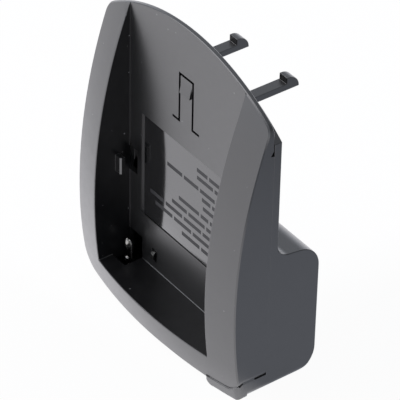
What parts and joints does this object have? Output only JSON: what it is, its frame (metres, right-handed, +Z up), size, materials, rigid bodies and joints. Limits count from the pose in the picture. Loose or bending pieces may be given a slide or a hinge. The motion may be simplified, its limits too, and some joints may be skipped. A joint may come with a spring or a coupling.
{
  "type": "camera battery charger cradle",
  "caption": "Shield-shaped charging cradle with a domed rim around an open battery bay, and a stepped back with snap hooks and terminals for a charger base.",
  "frame": {"origin": "on the flat underside it stands on, below the middle of the battery bay's floor", "axes": "+X to the right seen from the front, +Y from the open bay towards the hooks at the back, +Z up along the bay"},
  "size_m": [0.0552, 0.0311, 0.0754],
  "materials": {
    "case_plastic": "satin moulded, dark grey",
    "label_film": "glossy dark grey film",
    "contact_metal": "nickel-plated spring strip",
    "terminal_metal": "gold-plated strip",
    "board_laminate": "green solder resist",
    "component_body": "moulded black",
    "capacitor_can": "drawn can",
    "screw_steel": "zinc-plated"
  },
  "bodies": {
    "root": {"front_shell": "case_plastic", "rear_shell": "case_plastic", "label_film": "label_film", "contact_left": "contact_metal", "contact_right": "contact_metal", "contact_sense": "contact_metal", "circuit_board": "board_laminate", "base_terminal_1": "terminal_metal", "base_terminal_2": "terminal_metal", "base_terminal_3": "terminal_metal", "base_terminal_4": "terminal_metal", "control_chip": "component_body", "diode": "component_body", "resistors": "component_body", "capacitor": "capacitor_can", "case_screws": "screw_steel", "board_screws": "screw_steel"}
  },
  "joints": []
}
